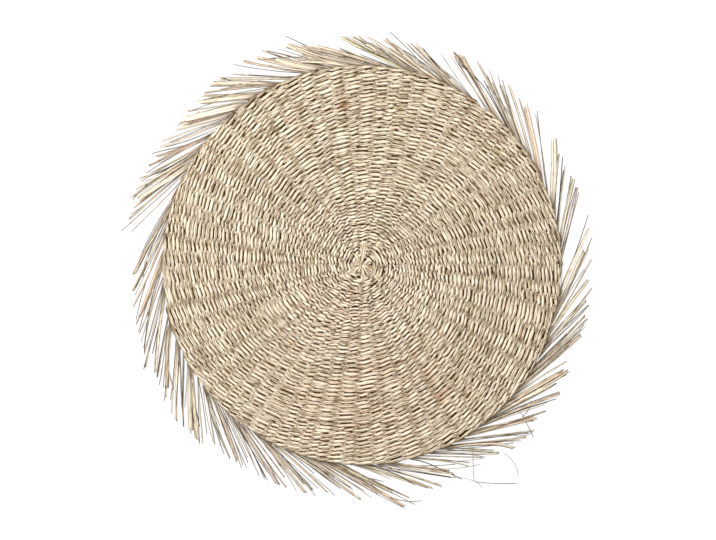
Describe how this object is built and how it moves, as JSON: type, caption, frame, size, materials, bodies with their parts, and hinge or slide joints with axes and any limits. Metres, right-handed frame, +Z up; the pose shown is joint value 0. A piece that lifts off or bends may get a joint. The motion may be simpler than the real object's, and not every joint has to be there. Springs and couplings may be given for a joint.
{
  "type": "seagrass placemat",
  "caption": "Round placemat twined from natural seagrass, with ribbed rows and a long swept fringe lying flat round its rim.",
  "frame": {"origin": "centre of the woven disc on its underside, where it rests on the table", "axes": "+Z up out of the upper face; +Y towards the top of the picture, +X towards its right"},
  "size_m": [0.447, 0.4418, 0.0054],
  "materials": {
    "weave": "dry natural seagrass, pale straw with tan and green streaks, satin",
    "fringe": "dry split seagrass blades, straw to tan, satin"
  },
  "bodies": {
    "root": {"woven_disc": "weave", "fringe_01": "fringe", "fringe_02": "fringe", "fringe_03": "fringe", "fringe_04": "fringe", "fringe_05": "fringe", "fringe_06": "fringe", "fringe_07": "fringe", "fringe_08": "fringe", "fringe_09": "fringe", "fringe_10": "fringe", "fringe_11": "fringe", "fringe_12": "fringe"}
  },
  "joints": []
}
